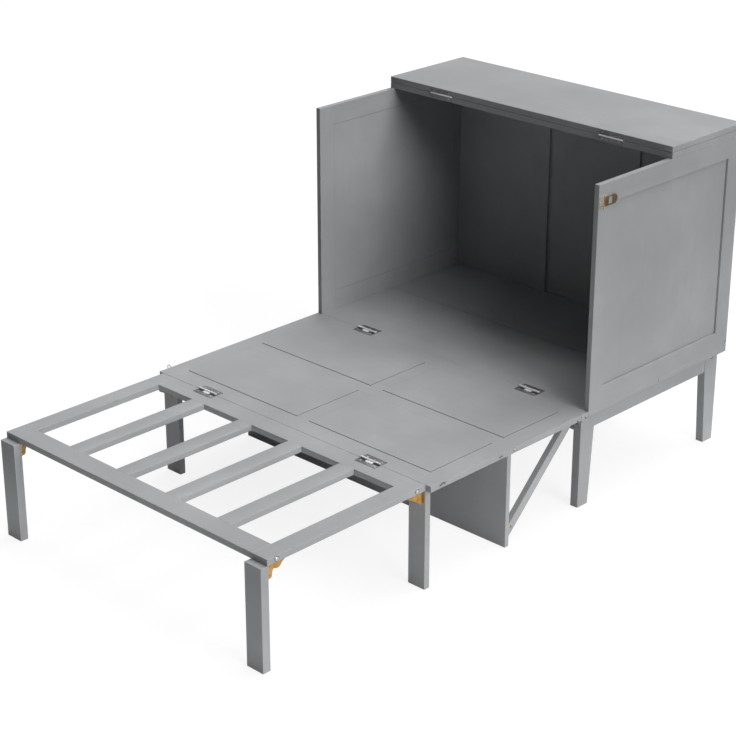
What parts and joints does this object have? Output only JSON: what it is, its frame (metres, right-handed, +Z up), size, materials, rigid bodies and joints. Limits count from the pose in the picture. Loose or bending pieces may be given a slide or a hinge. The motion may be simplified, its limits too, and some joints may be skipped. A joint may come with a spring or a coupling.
{
  "type": "cabinet bed",
  "caption": "Cabinet on tapered legs whose front panel lets down and unfolds into a slatted bed on folding legs.",
  "frame": {"origin": "on the floor, at the centre of the opened bed's outline", "axes": "+Z up, +Y from the foot of the bed towards the cabinet, +X to the right when seen from the foot"},
  "size_m": [1.1328, 1.952, 1.039],
  "materials": {
    "grey_paint": "satin",
    "hinge_steel": "brushed",
    "bolt_zinc": "polished",
    "bracket_brass": "satin",
    "latch_bronze": "satin"
  },
  "bodies": {
    "cabinet": {"floor_front": "grey_paint", "floor_rear": "grey_paint", "front_legs": "grey_paint", "rear_legs": "grey_paint", "front_apron": "grey_paint", "rear_apron": "grey_paint", "side_aprons": "grey_paint", "floor_bearer": "grey_paint", "side_stiles_left": "grey_paint", "side_rails_left": "grey_paint", "side_inset_left": "grey_paint", "side_stiles_right": "grey_paint", "side_rails_right": "grey_paint", "side_inset_right": "grey_paint", "rear_rails": "grey_paint", "back_boards": "grey_paint", "back_battens": "grey_paint", "top_rear_leaf": "grey_paint", "top_rear_lip": "grey_paint", "top_hinge_leaves": "hinge_steel", "floor_hinge_leaves": "hinge_steel", "latch_plates": "latch_bronze", "case_bolts": "bolt_zinc"},
    "top_leaf": {"top_front_leaf": "grey_paint", "top_front_lip": "grey_paint", "top_hinge_flaps": "hinge_steel"},
    "front_panel": {"panel_stiles": "grey_paint", "panel_rails": "grey_paint", "panel_mid_rail": "grey_paint", "panel_mullions": "grey_paint", "panel_insets": "grey_paint", "floor_hinge_flaps": "hinge_steel", "foot_hinge_leaves": "hinge_steel", "latch_staples": "hinge_steel", "board_hinge_leaves": "hinge_steel", "brace_cleats": "bracket_brass"},
    "foot_frame": {"foot_side_rails": "grey_paint", "foot_end_rail": "grey_paint", "foot_head_rail": "grey_paint", "slats": "grey_paint", "foot_hinge_flaps": "hinge_steel", "leg_channels": "bracket_brass", "leg_pins": "bolt_zinc", "rail_bolts": "bolt_zinc"},
    "left_foot_leg": {"foot_leg_left": "grey_paint", "foot_shoe_left": "bracket_brass"},
    "right_foot_leg": {"foot_leg_right": "grey_paint", "foot_shoe_right": "bracket_brass"},
    "left_mid_leg": {"mid_leg_left": "grey_paint", "mid_shoe_left": "bracket_brass"},
    "right_mid_leg": {"mid_leg_right": "grey_paint", "mid_shoe_right": "bracket_brass"},
    "support": {"support_board": "grey_paint", "board_hinge_flaps": "hinge_steel", "brace_clevises": "bracket_brass"},
    "left_brace": {"brace_left": "grey_paint"},
    "right_brace": {"brace_right": "grey_paint"},
    "left_latch_arm": {"latch_arm_left": "latch_bronze"},
    "right_latch_arm": {"latch_arm_right": "latch_bronze"}
  },
  "joints": [
    {"name": "top_leaf_fold", "type": "hinge", "parent": "cabinet", "child": "top_leaf", "pos_m": [0, 0.62625, 1.0205], "axis": [1, 0, 0], "range_deg": [0, 180]},
    {"name": "front_panel_fold", "type": "hinge", "parent": "cabinet", "child": "front_panel", "pos_m": [0, 0.294, 0.3235], "axis": [-1, 0, 0], "range_deg": [0, 90]},
    {"name": "foot_frame_fold", "type": "hinge", "parent": "front_panel", "child": "foot_frame", "pos_m": [0, -0.377, 0.3235], "axis": [-1, 0, 0], "range_deg": [0, 180]},
    {"name": "left_foot_leg_fold", "type": "hinge", "parent": "foot_frame", "child": "left_foot_leg", "pos_m": [-0.506, -0.9432, 0.265], "axis": [1, 0, 0], "range_deg": [0, 90]},
    {"name": "right_foot_leg_fold", "type": "hinge", "parent": "foot_frame", "child": "right_foot_leg", "pos_m": [0.506, -0.9432, 0.265], "axis": [1, 0, 0], "range_deg": [0, 90]},
    {"name": "left_mid_leg_fold", "type": "hinge", "parent": "foot_frame", "child": "left_mid_leg", "pos_m": [-0.506, -0.3972, 0.278], "axis": [-1, 0, 0], "range_deg": [0, 90]},
    {"name": "right_mid_leg_fold", "type": "hinge", "parent": "foot_frame", "child": "right_mid_leg", "pos_m": [0.506, -0.3972, 0.278], "axis": [-1, 0, 0], "range_deg": [0, 90]},
    {"name": "support_board_fold", "type": "hinge", "parent": "front_panel", "child": "support", "pos_m": [0, -0.0452, 0.2988], "axis": [-1, 0, 0], "range_deg": [0, 90]},
    {"name": "left_brace_fold", "type": "hinge", "parent": "support", "child": "left_brace", "pos_m": [-0.521, -0.01, 0.053], "axis": [1, 0, 0], "range_deg": [0, 46]},
    {"name": "right_brace_fold", "type": "hinge", "parent": "support", "child": "right_brace", "pos_m": [0.521, -0.01, 0.053], "axis": [1, 0, 0], "range_deg": [0, 46]},
    {"name": "left_latch_swing", "type": "hinge", "parent": "cabinet", "child": "left_latch_arm", "pos_m": [-0.5584, 0.316, 0.95], "axis": [0, 0, 1], "range_deg": [0, 180]},
    {"name": "right_latch_swing", "type": "hinge", "parent": "cabinet", "child": "right_latch_arm", "pos_m": [0.5584, 0.316, 0.95], "axis": [0, 0, -1], "range_deg": [0, 180]}
  ],
  "couplings": [
    {"joint": "left_brace_fold", "follows": "support_board_fold", "ratio": 0.50889},
    {"joint": "right_brace_fold", "follows": "support_board_fold", "ratio": 0.50889}
  ]
}
